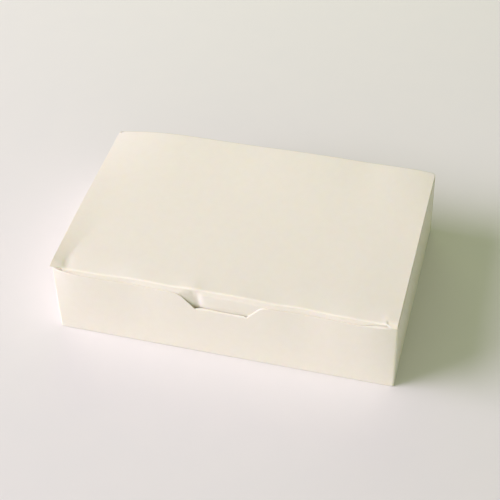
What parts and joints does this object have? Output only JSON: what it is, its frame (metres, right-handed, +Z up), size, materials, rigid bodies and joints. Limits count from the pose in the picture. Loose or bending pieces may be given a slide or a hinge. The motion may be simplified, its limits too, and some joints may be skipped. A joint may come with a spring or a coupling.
{
  "type": "folding sweet box carton",
  "caption": "Shallow folding carton for sweets: creased boxboard tray, hinged lid with a tuck flap, thumb notch in the front wall and folded-in dust flaps.",
  "frame": {"origin": "centre of the underside of the base", "axes": "+X along the long front edge, -Y the front with the thumb notch, +Y the lid's crease, +Z up"},
  "size_m": [0.24, 0.152, 0.0645],
  "materials": {
    "board": "matte",
    "creased_board": "matte",
    "glue": "satin"
  },
  "bodies": {
    "tray": {"base_panel": "board", "front_wall": "board", "back_wall": "board", "left_wall": "board", "right_wall": "board", "front_base_crease": "creased_board", "back_base_crease": "creased_board", "left_base_crease": "creased_board", "right_base_crease": "creased_board", "front_left_corner_crease": "creased_board", "front_right_corner_crease": "creased_board", "back_left_corner_crease": "creased_board", "back_right_corner_crease": "creased_board", "front_left_glue_tab": "board", "front_right_glue_tab": "board", "back_left_glue_tab": "board", "back_right_glue_tab": "board", "front_left_glue_spot": "glue", "front_right_glue_spot": "glue", "back_left_glue_spot": "glue", "back_right_glue_spot": "glue", "lid_crease": "creased_board", "left_dust_crease": "creased_board", "right_dust_crease": "creased_board"},
    "lid": {"lid_panel": "board", "tuck_crease": "creased_board"},
    "tuck_flap": {"tuck_flap": "board"},
    "left_dust_flap": {"left_dust_flap": "board"},
    "right_dust_flap": {"right_dust_flap": "board"}
  },
  "joints": [
    {"name": "lid_hinge", "type": "hinge", "parent": "tray", "child": "lid", "pos_m": [0, 0.07575, 0.0579], "axis": [-1, 0, 0], "range_deg": [-2.4, 197.6]},
    {"name": "tuck_fold", "type": "hinge", "parent": "lid", "child": "tuck_flap", "pos_m": [0, -0.07457, 0.0642], "axis": [-1, 0, 0], "range_deg": [-0.72, 59.28]},
    {"name": "left_dust_fold", "type": "hinge", "parent": "tray", "child": "left_dust_flap", "pos_m": [-0.11975, 0, 0.05725], "axis": [0, -1, 0], "range_deg": [-1.2, 98.8]},
    {"name": "right_dust_fold", "type": "hinge", "parent": "tray", "child": "right_dust_flap", "pos_m": [0.11975, 0, 0.05725], "axis": [0, 1, 0], "range_deg": [-1.2, 98.8]}
  ],
  "couplings": [
    {"joint": "tuck_fold", "follows": "lid_hinge", "ratio": 0.3},
    {"joint": "left_dust_fold", "follows": "lid_hinge", "ratio": 0.5},
    {"joint": "right_dust_fold", "follows": "lid_hinge", "ratio": 0.5}
  ]
}
